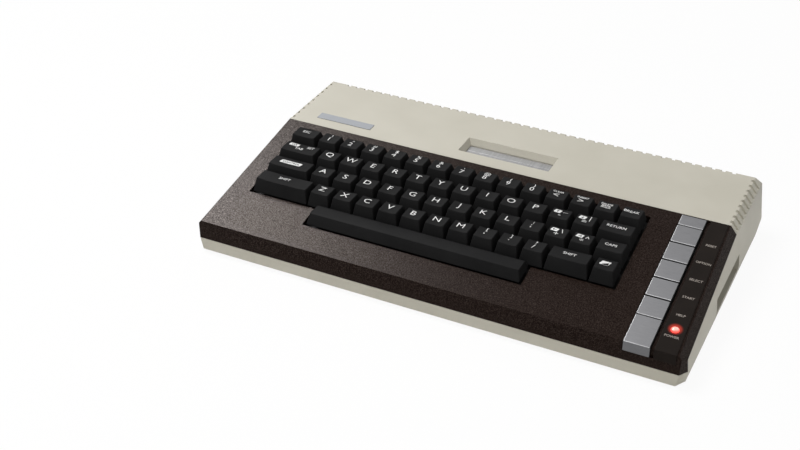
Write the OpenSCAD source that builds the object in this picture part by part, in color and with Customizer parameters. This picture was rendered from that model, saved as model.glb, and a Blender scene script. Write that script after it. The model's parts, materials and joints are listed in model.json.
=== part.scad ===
// Vintage home computer: a wedge-shaped case with a full-travel keyboard, a column of
// console buttons and a cartridge slot with sprung doors.
// Millimetres. +X is right, +Y is back, +Z is up. The origin is on the ground, under the middle.

/* [Case] */
// Width at the front seam, the widest place
case_w = 381.4; // [380:0.1:440]
// Depth without the raised trim
case_d = 214.4; // [213:0.1:260]
// Height of the flat rear top above the ground
case_h = 52.1; // [51:0.1:60]
// Height of the bezel's front edge
front_h = 28.3; // [28:0.1:32]
// Depth of the sloping bezel, seen from above
bezel_d = 131.8; // [131:0.1:140]
// Height of the seam along the front
seam_h = 13.3; // [12:0.1:15]
// How far the front face leans back from the seam up
front_lean = 0.4; // [0.2:0.1:2]
// Lean of the side and rear walls, in degrees
draft = 6.2; // [3:0.1:8]
// Chamfer round the top, sideways
chamfer_out = 4.8; // [3:0.1:6]
// Chamfer round the top, downwards
chamfer_down = 6.2; // [5:0.1:8]
// Corner chamfer of the front, sideways
corner_w = 4.2; // [2:0.1:6]
// Corner chamfer of the front, backwards
corner_d = 6.5; // [4:0.1:9]
// Height of the rear wall's widest line
tuck_h = 14; // [10:0.5:15]
// How far the rear wall tucks in below that line
tuck_in = 8.5; // [4:0.5:12]
// How far the front's bottom edge is drawn in below the seam
bottom_in = 0.6; // [0.3:0.1:2]
// How far the sides' bottom edges are drawn in below the seam
side_in = 1; // [0.5:0.1:3]
// How far the front corners' bottom ends are drawn in below the seam
corner_in = 4; // [1:0.1:6]
// Wall of the mouldings
wall = 2.5; // [2:0.1:3]
// Open seam between two mouldings
seam_gap = 0.25; // [0.15:0.05:0.4]

/* [Feet and screws] */
// Height of the rubber feet
foot_h = 3; // [2:0.5:4]
// Radius of the rubber feet
foot_r = 8; // [5:0.5:10]
// Feet and screws: distance in from the sides
boss_in = 17; // [17:0.5:22]
// Radius of the screw bosses
boss_r = 4; // [3.5:0.1:4.2]
// Height of the lower bosses above the floor's underside
boss_h = 9; // [8:0.5:10]
// Radius of a screw's shank
screw_r = 1.4; // [1:0.1:1.6]
// Length of a screw's shank
screw_l = 15; // [12:0.5:17]
// Radius of a screw's head
head_r = 2.8; // [2.2:0.1:3]
// Running clearance between fitted pieces
fit = 0.05; // [0.03:0.01:0.1]

/* [Vents] */
// Distance from groove to groove
vent_pitch = 7.9; // [6:0.1:12]
// Width of a groove
vent_w = 3; // [1.5:0.1:4]
// Depth of a groove
vent_depth = 1.5; // [0.5:0.1:1.7]
// Grooves along the rear edge
rear_vents = 43; // [11:2:45]
// Grooves along each side edge
side_vents = 9; // [3:1:9]

/* [Cartridge slot] */
// Width of the slot's mouth
slot_w = 75.5; // [60:0.5:90]
// Depth of the slot's mouth, front to back
slot_d = 22.5; // [18:0.5:26]
// How deep the doors lie
slot_sink = 5; // [3:0.1:6]
// How far the mouth's walls slope in
slot_slope = 2.75; // [1:0.05:3.5]
// Slot centre, behind the bezel
slot_back = 24.4; // [20:0.1:32]
// Wall of the slot's surround
slot_wall = 2; // [1.5:0.1:3]
// Thickness of a door
door_t = 1.2; // [1:0.1:1.6]
// Radius of the doors' hinge pins
hinge_r = 0.8; // [0.6:0.05:0.9]
// Clearance round a door
door_gap = 0.3; // [0.2:0.05:0.5]
// Height of the cartridge guide below the surround
guide_h = 17; // [10:0.5:18]

/* [Keyboard] */
// Distance from key to key
key_pitch = 19.05; // [18.5:0.05:19.2]
// Gap between neighbouring caps
key_gap = 0.85; // [0.6:0.05:1.5]
// Height of the key tops' front edges above the bezel
key_rise = 9.5; // [8:0.1:14]
// How far each side of a cap slopes in
key_side = 2.7; // [1.5:0.1:3.5]
// Top's front edge, in front of the key's centre
key_front = 3; // [2.5:0.1:6]
// Top's back edge, behind the key's centre
key_back = 7.6; // [5:0.1:8]
// Slope of the key tops down to the back, in degrees
key_tip = 10; // [0:1:14]
// Depth of the dish in a key top
dish = 0.6; // [0.2:0.05:0.8]
// Flat rim beside the dish
dish_rim = 0.8; // [0.5:0.1:1.5]
// Wall of a keycap
cap_wall = 1.3; // [1:0.1:1.6]
// Travel of a key
key_travel = 3.6; // [2:0.1:4]
// Radius of a key's stem
stem_r = 2.6; // [2:0.1:3]
// First row's centre, in front of the bezel's back edge
row_start = 22.7; // [21:0.1:26]
// First key's cell, in from the case's left side
keyboard_in = 25; // [24.5:0.1:28]
// Space round the keys in their well
well_gap = 1.7; // [0.8:0.1:1.8]
// Depth of the well's skirt below the bezel's face
skirt = 6.3; // [6:0.1:7]
// Thickness of the steel key plate
plate_t = 1.5; // [1:0.1:2]
// Room between the key plate and the key circuit
circuit_room = 7.8; // [7:0.1:9]
// Thickness of the circuit boards
board_t = 1.6; // [1:0.1:2]

/* [Console] */
// Width of the console buttons
button_w = 18.6; // [15:0.1:19]
// Distance from button to button
button_pitch = 19.05; // [17:0.05:19.2]
// Back edge of the first button, in front of the bezel's back edge
button_start = 12.5; // [9:0.1:14]
// Gap round the buttons
button_gap = 0.95; // [0.5:0.05:1.2]
// How far buttons and blanks stand above the bezel
button_rise = 1; // [0.5:0.1:2]
// Travel of a button
button_travel = 1.5; // [0.8:0.1:1.6]
// Radius of a button's stem
button_stem_r = 2; // [1.5:0.1:2.5]
// How far the front trim folds down the front face
fold = 7; // [5:0.1:9]
// Distance between the buttons and the label strip
label_gap = 2.8; // [1:0.1:3]
// Left edge of the label strip, in from the case's right side
label_in = 22.4; // [22:0.1:23]
// Thickness of the label strip
label_t = 0.9; // [0.5:0.1:1]
// Label strip's distance from the side chamfer
label_edge = 1.5; // [0.5:0.1:3]
// Radius of the power lamp
lamp_r = 2.9; // [2:0.1:3.5]
// Power lamp, in front of the bezel's back edge
lamp_start = 113; // [112:0.1:116]
// Power lamp, in from the label strip's left edge
lamp_in = 7.3; // [6:0.1:9]

/* [Badge] */
// Width of the bare badge plate
badge_w = 48.4; // [30:0.1:60]
// Depth of the bare badge plate
badge_d = 8.5; // [6:0.1:12]
// Badge's left edge, in from the case's left side
badge_in = 27.6; // [24:0.1:40]
// Badge's front edge, behind the bezel
badge_back = 11; // [6:0.1:20]
// Thickness of the badge plate
badge_t = 0.5; // [0.3:0.1:1]

/* [Boards and ports] */
// Underside of the main board above the case floor
board_up = 2.2; // [2:0.1:3]
// Main board's front edge, behind the case's front
board_front = 62; // [60:1:70]
// Height of the rear ports' centre above the main board
port_up = 11; // [10:0.1:12]
// Height of the controller ports' centre above the main board
side_up = 6.6; // [6.4:0.1:7]
// Depth of the controller ports' recesses
port_recess = 5; // [4.6:0.1:6]
// Width of a controller port's flange
port_w = 30.8; // [29:0.1:31]
// Height of the controller ports' recess
port_h = 13.6; // [13:0.1:14.5]
// First controller port, in front of the bezel's back edge
port_back = 36.2; // [34:0.1:45]
// Distance between the controller ports
port_pitch = 31.5; // [31.2:0.1:34]
// Radius of the television jack's shell
jack_r = 4.15; // [4:0.05:4.5]
// Radius of the round sockets
socket_r = 8; // [7.5:0.1:8.2]
// Tilt of the power switch either way, in degrees
rocker_tilt = 8; // [4:1:10]
// Travel of the channel switch
channel_travel = 3; // [2:0.1:4]

/* [Hidden] */
$fn = 48;
reach = 2 * case_w;
front_y = -case_d / 2;
rear_y = case_d / 2;
front_top_y = front_y + front_lean;
bend_y = front_top_y + bezel_d;
tilt = atan2(case_h - front_h, bezel_d);
slope_l = bezel_d / cos(tilt);
rim_h = case_h - chamfer_down;
rear_rim_y = rear_y - (rim_h - tuck_h) * tan(draft);
floor_z = foot_h + wall;

// Half width of the leaning side walls at a height
function side_x(z) = case_w / 2 - (z - seam_h) * tan(draft);
// Outer face of the rear wall at a height above its widest line, and inner face at any height
function back_y(z) = rear_y - (z - tuck_h) * tan(draft);
tuck = tuck_in / (tuck_h - foot_h);
function inner_y(z) =
    min(back_y(z) - wall / cos(draft), rear_y - (tuck_h - z) * tuck - wall * norm([1, tuck]));
// Height of the bezel's face at a depth
function bezel_z(y) = case_h - (bend_y - y) * tan(tilt);
function unit(v) = v / norm(v);
function total(list, count) = count <= 0 ? 0 : list[count - 1] + total(list, count - 1);

// The case from the side (y, z), its right half from the end (x, z), and its front corners from
// above (x, y). Each outline runs clockwise.
side_outline = [
    [front_y + bottom_in, foot_h], [front_y, seam_h], [front_top_y, front_h], [bend_y, case_h],
    [rear_rim_y - chamfer_out, case_h], [rear_rim_y, rim_h], [rear_y, tuck_h],
    [rear_y - tuck_in, foot_h]];
half_outline = [
    [side_x(rim_h) - chamfer_out, case_h], [side_x(rim_h), rim_h], [case_w / 2, seam_h],
    [case_w / 2 - side_in, foot_h]];
end_outline = concat([for (i = [3 : -1 : 0]) [-half_outline[i][0], half_outline[i][1]]], half_outline);
function corner_point(s, steps) =
    [s * (case_w / 2 + steps * corner_w), front_y + corner_d + steps * corner_d];
plan_outline = [
    corner_point(-1, -3), corner_point(-1, 3), [-reach / 2, case_d], [reach / 2, case_d],
    corner_point(1, 3), corner_point(1, -3)];

function outward(a, b) = unit([a[1] - b[1], b[0] - a[0]]);
// An outline with every edge moved in by a distance
function moved_in(points, distance) = [for (i = [0 : len(points) - 1])
    let (before = outward(points[(i + len(points) - 1) % len(points)], points[i]),
         after = outward(points[i], points[(i + 1) % len(points)]))
    points[i] - distance * (before + after) / (1 + before * after)];

// Outlines pushed across the width and along the depth
module across(points) {
    rotate([90, 0, 90]) linear_extrude(reach, center = true) polygon(points);
}
module along(points) {
    rotate([90, 0, 0]) linear_extrude(reach, center = true) polygon(points);
}

// What the top chamfer takes off where it runs down beside the bezel; side is -1 or 1
module slope_chamfer(side, inset) {
    edge = [side * (side_x(front_h - chamfer_down) - side_x(rim_h)), -bezel_d, front_h - case_h];
    down = [side * chamfer_out, 0, -chamfer_down];
    normal = side * unit(cross(edge, down));
    cutter = [chamfer_down * 20, 3 * bezel_d, chamfer_down * 6];
    translate([side * half_outline[0][0], bend_y, case_h] - inset * normal)
        rotate([0, acos(normal[2]), atan2(normal[1], normal[0])])
            translate([-cutter[0] / 2, -cutter[1] / 2, 0]) cube(cutter);
}

// What the front corner's chamfer takes off more and more below the seam; side is -1 or 1
module corner_lean(side, inset) {
    edge = [-side * corner_w, -corner_d, 0];
    level = [side * corner_d, -corner_w] / norm([corner_d, corner_w]);
    down = [-level[0] * corner_in, -level[1] * corner_in, foot_h - seam_h];
    normal = side * unit(cross(edge, down));
    cutter = 4 * [seam_h, seam_h, seam_h];
    translate([side * case_w / 2, front_y + corner_d, seam_h] - inset * normal)
        rotate([0, acos(normal[2]), atan2(normal[1], normal[0])])
            translate([-cutter[0] / 2, -cutter[1] / 2, 0]) cube(cutter);
}

// The whole outside form, with every face moved in by an inset
module envelope(inset = 0) {
    difference() {
        intersection() {
            across(moved_in(side_outline, inset));
            along(moved_in(end_outline, inset));
            linear_extrude(2 * case_h) polygon(moved_in(plan_outline, inset));
        }
        for (side = [-1, 1]) {
            slope_chamfer(side, inset);
            corner_lean(side, inset);
        }
    }
}

// Everything above the seam, which follows the chamfer's lower edge and drops at the front
module above_seam(gap = 0) {
    corner_y = front_y + corner_d + gap;
    across([
        [-case_d, seam_h - gap], [corner_y, seam_h - gap],
        [corner_y, bezel_z(corner_y) - chamfer_down - gap], [bend_y, rim_h - gap],
        [case_d, rim_h - gap], [case_d, 3 * case_h], [-case_d, 3 * case_h]]);
}

// Places its children in the bezel's plane: x, distance from its back edge, height above it
module on_bezel() translate([0, bend_y, case_h]) rotate([tilt, 0, 0]) children();

// A box given by its two corners
module block(low, high) translate(low) cube(high - low);

// Local +Z points to the right, or to the back
module facing_right() rotate([90, 0, 90]) children();
module facing_back() rotate([-90, 0, 0]) children();

// Screw places: the first two rows hold the bezel, the other two hold the rear top
bezel_boss_y = [front_y + 10.5, bend_y - 77];
top_boss_y = [bend_y + 17, rear_rim_y - 20];
boss_x = case_w / 2 - boss_in;
boss_top = foot_h + boss_h;
pilot_r = screw_r + fit;
head_sink = 3;

module boss_holes() {
    for (s = [-1, 1], y = concat(bezel_boss_y, top_boss_y)) translate([s * boss_x, y, foot_h]) {
        translate([0, 0, -1]) cylinder(r = screw_r + 0.3, h = boss_h + 2);
        translate([0, 0, -1]) cylinder(r = head_r + 0.4, h = head_sink + 1);
    }
}

module upper_boss(y, top) {
    bottom = boss_top + seam_gap;
    for (s = [-1, 1]) translate([s * boss_x, y, bottom]) difference() {
        cylinder(r = boss_r, h = top - bottom);
        translate([0, 0, -1]) cylinder(r = pilot_r, h = screw_l - boss_h + head_sink + 2);
    }
}

// Ports: where they are and what they need in the walls
board_z = floor_z + board_up;
board_top = board_z + board_t;
board_w = 2 * (boss_x - boss_r - 2.7);
board_y = [front_y + board_front, rear_y - 11];
port_z = board_top + port_up;
side_z = board_top + side_up;
port_y = [for (i = [0, 1]) bend_y - port_back + i * port_pitch];
power_switch_x = 150;
power_x = 122;
monitor_x = 94;
peripheral_x = 44;
channel_x = -6;
jack_x = -34;
bus_x = -100;
bus_size = [72, 12];
peripheral_size = [42, 10];
rocker_size = [14, 8.4];
rocker_room = 1.3;
channel_size = [4, 4];
face_y = back_y(port_z) - wall - seam_gap;
port_shell = 5.8;
port_depth = port_recess + port_shell;
port_rim = 1.5;

module rear_cut(x, size) {
    block([x - size[0] / 2, face_y - 3, port_z - size[1] / 2],
          [x + size[0] / 2, rear_y + 5, port_z + size[1] / 2]);
}

module rear_bore(x, r) translate([x, face_y - 3, port_z]) facing_back() cylinder(r = r, h = 15);

module port_cuts() {
    gap = [2 * seam_gap, 2 * seam_gap];
    rear_cut(bus_x, bus_size + gap);
    rear_cut(peripheral_x, peripheral_size + [2.4, 2.4] + gap);
    rear_cut(power_switch_x, rocker_size + [2 * rocker_room + 2.4, 2 * seam_gap + 2.4] + gap);
    rear_cut(channel_x, channel_size + [channel_travel + 1, 1]);
    for (x = [power_x, monitor_x]) rear_bore(x, socket_r + seam_gap);
    rear_bore(jack_x, jack_r + 3.8);
    controller_space(0, port_depth + 1);
}

// The recess of both controller ports, grown by a margin, from a depth out through the side wall
module controller_space(margin, depth) {
    block([side_x(side_z) - depth, port_y[0] - port_w / 2 - 0.3 - margin, side_z - port_h / 2 - margin],
          [case_w, port_y[1] + port_w / 2 + 0.3 + margin, side_z + port_h / 2 + margin]);
}

pillar_r = 3;
floor_slot = [3, 42];

module bottom_case() {
    color([0.77, 0.75, 0.7]) difference() {
        union() {
            difference() {
                envelope();
                envelope(wall);
                above_seam(seam_gap);
            }
            for (s = [-1, 1], y = concat(bezel_boss_y, top_boss_y))
                translate([s * boss_x, y, foot_h]) cylinder(r = boss_r, h = boss_h);
            for (x = [-1, 0, 1] * (board_w / 2 - 12), y = [board_y[0] + 7, board_y[1] - 9])
                translate([x, y, foot_h]) cylinder(r = pillar_r, h = board_z - foot_h);
            intersection() {
                envelope(wall / 2);
                controller_space(port_rim, port_depth - seam_gap);
            }
        }
        boss_holes();
        port_cuts();
        for (s = [-1, 1], i = [0 : 11])
            translate([s * (55 + i * vent_pitch), board_y[0] + 20, 0])
                translate([-floor_slot[0] / 2, 0, 0]) cube([floor_slot[0], floor_slot[1], floor_z + 1]);
    }
}

// Grooves across the chamfers of the rear top
module vents() {
    fall = atan2(chamfer_down, chamfer_out);
    middle_z = case_h - chamfer_down / 2;
    groove_l = 4 * chamfer_down;
    for (i = [0 : rear_vents - 1])
        translate([(i - (rear_vents - 1) / 2) * vent_pitch, rear_rim_y - chamfer_out / 2, middle_z])
            rotate([-fall, 0, 0]) translate([-vent_w / 2, -groove_l / 2, -vent_depth])
                cube([vent_w, groove_l, chamfer_down]);
    for (m = [0, 1], i = [0 : side_vents - 1]) mirror([m, 0, 0])
        translate([side_x(rim_h) - chamfer_out / 2, bend_y + 5 + i * vent_pitch, middle_z])
            rotate([0, fall, 0]) translate([-groove_l / 2, -vent_w / 2, -vent_depth])
                cube([groove_l, vent_w, chamfer_down]);
}

// The cartridge slot: a mouth with sloping walls over a straight throat
slot_y = bend_y + slot_back;
throat = [slot_w - 2 * slot_slope, slot_d - 2 * slot_slope];
door_top = case_h - slot_sink - door_gap;
barrel_r = hinge_r + 0.5;
hinge_z = door_top - barrel_r;
hinge_y = throat[1] / 2 - barrel_r - door_gap;
throat_bottom = hinge_z - barrel_r - 1;

// A block whose four sides slope, from a rectangle at one height to a larger one above it
module sloping_block(low, low_z, high, high_z) {
    intersection() {
        along([
            [-low[0] / 2, low_z], [low[0] / 2, low_z], [high[0] / 2, high_z], [-high[0] / 2, high_z]]);
        across([
            [-low[1] / 2, low_z], [low[1] / 2, low_z], [high[1] / 2, high_z], [-high[1] / 2, high_z]]);
    }
}

module top_case() {
    rim = [2 * slot_wall, 2 * slot_wall];
    slopes = 2 * [slot_slope, slot_slope];
    color([0.78, 0.77, 0.72]) difference() {
        union() {
            intersection() {
                difference() {
                    envelope();
                    envelope(wall);
                }
                above_seam();
                block([-reach, bend_y, 0], [reach, reach, 3 * case_h]);
            }
            translate([0, slot_y, 0]) {
                block([-throat[0] / 2 - slot_wall, -throat[1] / 2 - slot_wall, throat_bottom],
                      [throat[0] / 2 + slot_wall, throat[1] / 2 + slot_wall, case_h - slot_sink]);
                sloping_block(throat + rim, case_h - slot_sink, throat + slopes + rim, case_h - wall / 2);
            }
            for (y = top_boss_y) upper_boss(y, case_h - wall / 2);
        }
        vents();
        translate([0, slot_y, 0]) {
            block([-throat[0] / 2, -throat[1] / 2, 0], [throat[0] / 2, throat[1] / 2, case_h]);
            sloping_block(throat, case_h - slot_sink, throat + slopes * 1.2, case_h + slot_sink * 0.2);
            for (s = [-1, 1]) translate([0, s * hinge_y, hinge_z]) rotate([0, 90, 0])
                cylinder(r = hinge_r + fit / 2, h = slot_w * 2, center = true);
        }
    }
}

// One door, hinged at its outer edge; side -1 is the front door
module cartridge_door(side) {
    length = throat[0] - 2 * door_gap;
    color([0.72, 0.72, 0.73]) translate([0, slot_y, 0]) difference() {
        union() {
            translate([0, side * hinge_y, hinge_z]) rotate([0, 90, 0])
                cylinder(r = barrel_r, h = length, center = true);
            block([-length / 2, min(side * hinge_y, side * door_gap / 2), door_top - door_t],
                  [length / 2, max(side * hinge_y, side * door_gap / 2), door_top]);
        }
        translate([0, side * hinge_y, hinge_z]) rotate([0, 90, 0])
            cylinder(r = hinge_r + fit, h = 2 * length, center = true);
    }
}

module cartridge_door_pins() {
    color("silver") for (s = [-1, 1]) translate([0, slot_y + s * hinge_y, hinge_z])
        rotate([0, 90, 0]) cylinder(r = hinge_r, h = throat[0] + 2 * slot_wall - 0.4, center = true);
}

module cartridge_guide() {
    outer = throat + [2 * slot_wall, 2 * slot_wall];
    top = throat_bottom - seam_gap;
    color([0.2, 0.2, 0.2]) translate([0, slot_y, 0]) difference() {
        block([-outer[0] / 2, -outer[1] / 2, top - guide_h], [outer[0] / 2, outer[1] / 2, top]);
        block([-throat[0] / 2, -throat[1] / 2, 0], [throat[0] / 2, throat[1] / 2, case_h]);
    }
}

connector_h = 13.5;

module cartridge_connector() {
    size = [throat[0] - 5, throat[1] - 6];
    contact = [throat[0] - 13, 3];
    color([0.1, 0.1, 0.1]) translate([0, slot_y, board_top]) difference() {
        block([-size[0] / 2, -size[1] / 2, 0], [size[0] / 2, size[1] / 2, connector_h]);
        block([-contact[0] / 2, -contact[1] / 2, 4], [contact[0] / 2, contact[1] / 2, connector_h + 1]);
    }
}

// Key rows: each starts at a place in key pitches and lists its keys' widths in key pitches
ten_keys = [for (i = [1 : 10]) 1];
key_rows = [
    [-0.75, concat([1.25], ten_keys, [1, 1, 1, 1])],
    [-0.75, concat([1.75], ten_keys, [1, 1, 1.5])],
    [-0.75, concat([2], ten_keys, [1, 1, 1.25])],
    [-0.75, concat([2.5], ten_keys, [1.75, 1])],
    [2.25, [9]]];
keys_right = 14.5;
unit_x = -case_w / 2 + keyboard_in + 0.75 * key_pitch;

function key_x(row, i) =
    unit_x + key_pitch * (key_rows[row][0] + total(key_rows[row][1], i) + key_rows[row][1][i] / 2);
function key_y(row) = -row_start - row * key_pitch;

cap_bottom = -0.8;
tip_drop = (key_front + key_back) * tan(key_tip);
stem_bottom = -skirt - plate_t - 3.6;
flat_key = 2;
long_key = 5;
guide_spread = 60;

// Stems: one in the middle, or two far apart under a long key
function stem_places(width) = width > long_key ? [-guide_spread, guide_spread] : [0];

// A cap's outline from the side, with its walls moved in
function cap_side(inset) = [
    [-(key_pitch - key_gap) / 2 + inset, cap_bottom - inset / 10],
    [(key_pitch - key_gap) / 2 - inset, cap_bottom - inset / 10],
    [key_back - inset, key_rise - tip_drop - inset],
    [-key_front + inset, key_rise - inset]];

module cap_block(width, inset) {
    half = width / 2 - inset;
    intersection() {
        rotate([90, 0, 90]) linear_extrude(width, center = true) polygon(cap_side(inset));
        rotate([90, 0, 0]) linear_extrude(2 * key_pitch, center = true) polygon([
            [-half, cap_bottom - 1], [half, cap_bottom - 1],
            [half - key_side, key_rise], [-half + key_side, key_rise]]);
    }
}

// A keycap with a dished top and its stem, centred on the key
module keycap(width_units) {
    width = width_units * key_pitch - key_gap;
    dish_half = width / 2 - key_side - dish_rim;
    dish_r = (dish_half * dish_half + dish * dish) / (2 * dish);
    middle = key_rise - key_front * tan(key_tip);
    color([0.12, 0.12, 0.12]) difference() {
        union() {
            difference() {
                cap_block(width, 0);
                cap_block(width, cap_wall);
            }
            for (x = stem_places(width_units)) translate([x, 0, stem_bottom])
                cylinder(r = stem_r, h = middle - dish - 0.2 - stem_bottom);
        }
        if (width_units < flat_key)
            translate([0, -key_front, key_rise]) rotate([-key_tip, 0, 0])
                translate([0, 0, dish_r - dish]) rotate([90, 0, 0])
                    cylinder(r = dish_r, h = 4 * key_pitch, center = true, $fn = 96);
    }
}

module keys(row, first, last) {
    on_bezel() for (i = [first : last])
        translate([key_x(row, i), key_y(row), 0]) keycap(key_rows[row][1][i]);
}

// The key field and the space bar's notch, grown by a margin, between two heights
module key_field(margin, low, high) {
    left = unit_x - 0.75 * key_pitch;
    right = unit_x + keys_right * key_pitch;
    bar = key_x(4, 0);
    bar_half = key_rows[4][1][0] * key_pitch / 2;
    half = key_pitch / 2;
    block([left - margin, key_y(3) - half - margin, low], [right + margin, key_y(0) + half + margin, high]);
    block([bar - bar_half - margin, key_y(4) - half - margin, low],
          [bar + bar_half + margin, key_y(2), high]);
}

// Console column: a slot in the bezel for the buttons, with fixed blanks at both ends
label_x = case_w / 2 - label_in;
column_x = label_x - label_gap - button_w / 2;
button_count = 5;
buttons_end = button_start + button_count * button_pitch;
slot_half = button_w / 2 + 0.6;
column_back = 1.6;
recess_depth = 1.5;

// The column's whole length, grown by a gap, down to the front trim's lower edge
module column(gap, right) {
    on_left = column_x - button_w / 2 - gap;
    intersection() {
        on_bezel() block([on_left, -slope_l - 5, -12], [right, -column_back + gap, 12]);
        block([-reach, -reach, front_h - fold - gap], [reach, reach, 3 * case_h]);
    }
}

// The part of the column that the buttons take
module button_zone(half, depth) {
    on_bezel() block([column_x - half, -buttons_end, -depth], [column_x + half, -button_start, depth]);
}

module keyboard_bezel() {
    color([0.22, 0.18, 0.16]) difference() {
        union() {
            intersection() {
                difference() {
                    envelope();
                    envelope(wall);
                }
                above_seam();
                block([-reach, -reach, 0], [reach, bend_y - seam_gap, 3 * case_h]);
            }
            on_bezel() difference() {
                key_field(well_gap + 1.5, -skirt, -wall / 2);
                key_field(well_gap, -skirt - 1, 1);
            }
            for (y = bezel_boss_y) upper_boss(y, bezel_z(y) - wall / 2);
            block([-boss_x, bend_y - 6, case_h - wall - 3.2], [boss_x, bend_y + 4, case_h - wall - 0.2]);
        }
        on_bezel() key_field(well_gap, -wall - 2, 3);
        button_zone(slot_half, 10);
        difference() {
            column(seam_gap, label_x);
            envelope(recess_depth);
        }
        on_bezel() translate([label_x + lamp_in, -lamp_start, -wall - 3]) cylinder(r = lamp_r + 0.15, h = 10);
    }
}

// The label strip: a thin skin over the bezel that folds down the front face
module label_strip() {
    back_x = half_outline[0][0] - label_edge;
    front_x = back_x + side_x(front_h - chamfer_down) - side_x(rim_h);
    color([0.15, 0.12, 0.11]) difference() {
        intersection() {
            difference() {
                envelope(-label_t);
                envelope();
            }
            translate([0, 0, front_h - fold]) linear_extrude(2 * case_h) polygon([
                [label_x, bend_y - column_back], [back_x, bend_y - column_back],
                [front_x, front_y - 5], [label_x, front_y - 5]]);
        }
        on_bezel() translate([label_x + lamp_in, -lamp_start, -5]) cylinder(r = lamp_r + 0.15, h = 10);
    }
}

module power_lamp() {
    dome = 1.2;
    color([0.9, 0.2, 0.15]) on_bezel() translate([label_x + lamp_in, -lamp_start, 0]) {
        translate([0, 0, -wall - 4]) cylinder(r = lamp_r, h = wall + 4 + label_t);
        translate([0, 0, -wall - 1.4]) cylinder(r = lamp_r + 0.8, h = 1.2);
        translate([0, 0, label_t]) intersection() {
            translate([0, 0, dome - (lamp_r * lamp_r + dome * dome) / (2 * dome)])
                sphere(r = (lamp_r * lamp_r + dome * dome) / (2 * dome));
            cylinder(r = lamp_r, h = 2 * dome);
        }
    }
}

frame_top = -3.3;
frame_t = 1.5;
frame_back = 8;
button_t = 2.6;

// Fixed blanks behind and in front of the buttons; the front one folds down the front face
module console_trim() {
    color([0.6, 0.6, 0.61]) intersection() {
        difference() {
            envelope(-button_rise);
            envelope(recess_depth - seam_gap);
            button_zone(button_w, 20);
        }
        column(0, column_x + button_w / 2);
    }
}

module console_button(i) {
    depth = button_pitch - button_gap;
    color([0.58, 0.58, 0.6]) on_bezel()
        translate([column_x, -button_start - (i + 0.5) * button_pitch, 0]) {
            block([-button_w / 2, -depth / 2, button_rise - button_t], [button_w / 2, depth / 2, button_rise]);
            translate([0, 0, -7.4]) cylinder(r = button_stem_r, h = 7.4);
        }
}

switch_top = -9.3;
switch_board = -12;

// The channel under the buttons, which guides their stems and carries their switches
module console_frame() {
    half = slot_half + 2;
    color([0.1, 0.1, 0.1]) on_bezel() difference() {
        union() {
            block([column_x - half, -slope_l + 6, frame_top - frame_t], [column_x + half, -frame_back, frame_top]);
            for (s = [-1, 1]) translate([column_x + s * (half - 0.7), 0, 0])
                block([-0.7, -slope_l + 6, frame_top - 0.1], [0.7, -frame_back, -wall - seam_gap]);
            for (y = [button_start + 3, buttons_end - 3], s = [-1, 1])
                translate([column_x + s * 7, -y, switch_board])
                    cylinder(r = 1.5, h = frame_top - frame_t - switch_board + 0.2);
        }
        for (i = [0 : button_count - 1])
            translate([column_x, -button_start - (i + 0.5) * button_pitch, frame_top - 5])
                cylinder(r = button_stem_r + 0.3, h = 10);
    }
}

module console_switches() {
    color([0.15, 0.35, 0.2]) on_bezel() {
        block([column_x - 10, -buttons_end, switch_board - board_t], [column_x + 10, -button_start, switch_board]);
        for (i = [0 : button_count - 1])
            translate([column_x, -button_start - (i + 0.5) * button_pitch, 0])
                block([-3, -3, switch_board], [3, 3, switch_top]);
    }
}

plate_top = -skirt - 0.2;
plate_bottom = plate_top - plate_t;
circuit_top = plate_bottom - circuit_room;

module keyboard_plate() {
    color([0.3, 0.3, 0.31]) on_bezel() {
        difference() {
            key_field(well_gap + 0.9, plate_bottom, plate_top);
            for (row = [0 : len(key_rows) - 1], i = [0 : len(key_rows[row][1]) - 1])
                for (x = stem_places(key_rows[row][1][i]))
                    translate([key_x(row, i) + x, key_y(row), plate_bottom - 1])
                        cylinder(r = stem_r + 0.4, h = plate_t + 2);
        }
        for (x = [unit_x, unit_x + 7 * key_pitch, unit_x + 14 * key_pitch], row = [0, 3])
            translate([x - 0.5 * key_pitch + 1, key_y(row) + 0.5 * key_pitch - row * 2 * key_pitch / 6, 0])
                translate([0, 0, circuit_top]) cylinder(r = 1.2, h = circuit_room + 0.2);
    }
}

module keyboard_circuit() {
    color([0.15, 0.35, 0.2]) on_bezel() key_field(1, circuit_top - board_t, circuit_top);
}

ribbon_w = 50;
ribbon_x = -90;
ribbon_t = 0.6;

// A flat cable from the key circuit's underside down into its header on the main board
module keyboard_ribbon() {
    start = bend_y - 22;
    start_z = bezel_z(start) - (-circuit_top + board_t) / cos(tilt) - 0.3;
    foot = start - 8;
    color([0.75, 0.72, 0.68]) translate([ribbon_x, 0, 0]) {
        rotate([90, 0, 90]) linear_extrude(ribbon_w, center = true) polygon([
            [start, start_z], [start - 6, start_z - 7], [foot, board_top + 6], [foot + ribbon_t, board_top + 6],
            [start - 6 + ribbon_t, start_z - 6.6], [start + 3, start_z]]);
        block([-ribbon_w / 2 - 2, foot - 2, board_top], [ribbon_w / 2 + 2, foot + 3, board_top + 6]);
    }
}

module main_board() {
    color([0.12, 0.32, 0.18])
        block([-board_w / 2, board_y[0], board_z], [board_w / 2, board_y[1], board_top]);
}

// Chips: centre and size on the main board
chips_list = [
    [62, 8, 52, 14], [62, 32, 52, 14], [62, 56, 36, 14], [118, 56, 36, 14], [118, 32, 36, 14],
    [-30, -12, 20, 8], [0, -12, 20, 8], [30, -12, 20, 8], [0, 8, 20, 8], [-30, 8, 20, 8]];
chip_h = 4;

module chips() {
    color([0.08, 0.08, 0.08]) for (c = chips_list)
        translate([c[0], c[1], board_top])
            block([-c[2] / 2, -c[3] / 2, 0], [c[2] / 2, c[3] / 2, chip_h]);
}

shield_t = 0.6;

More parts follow.
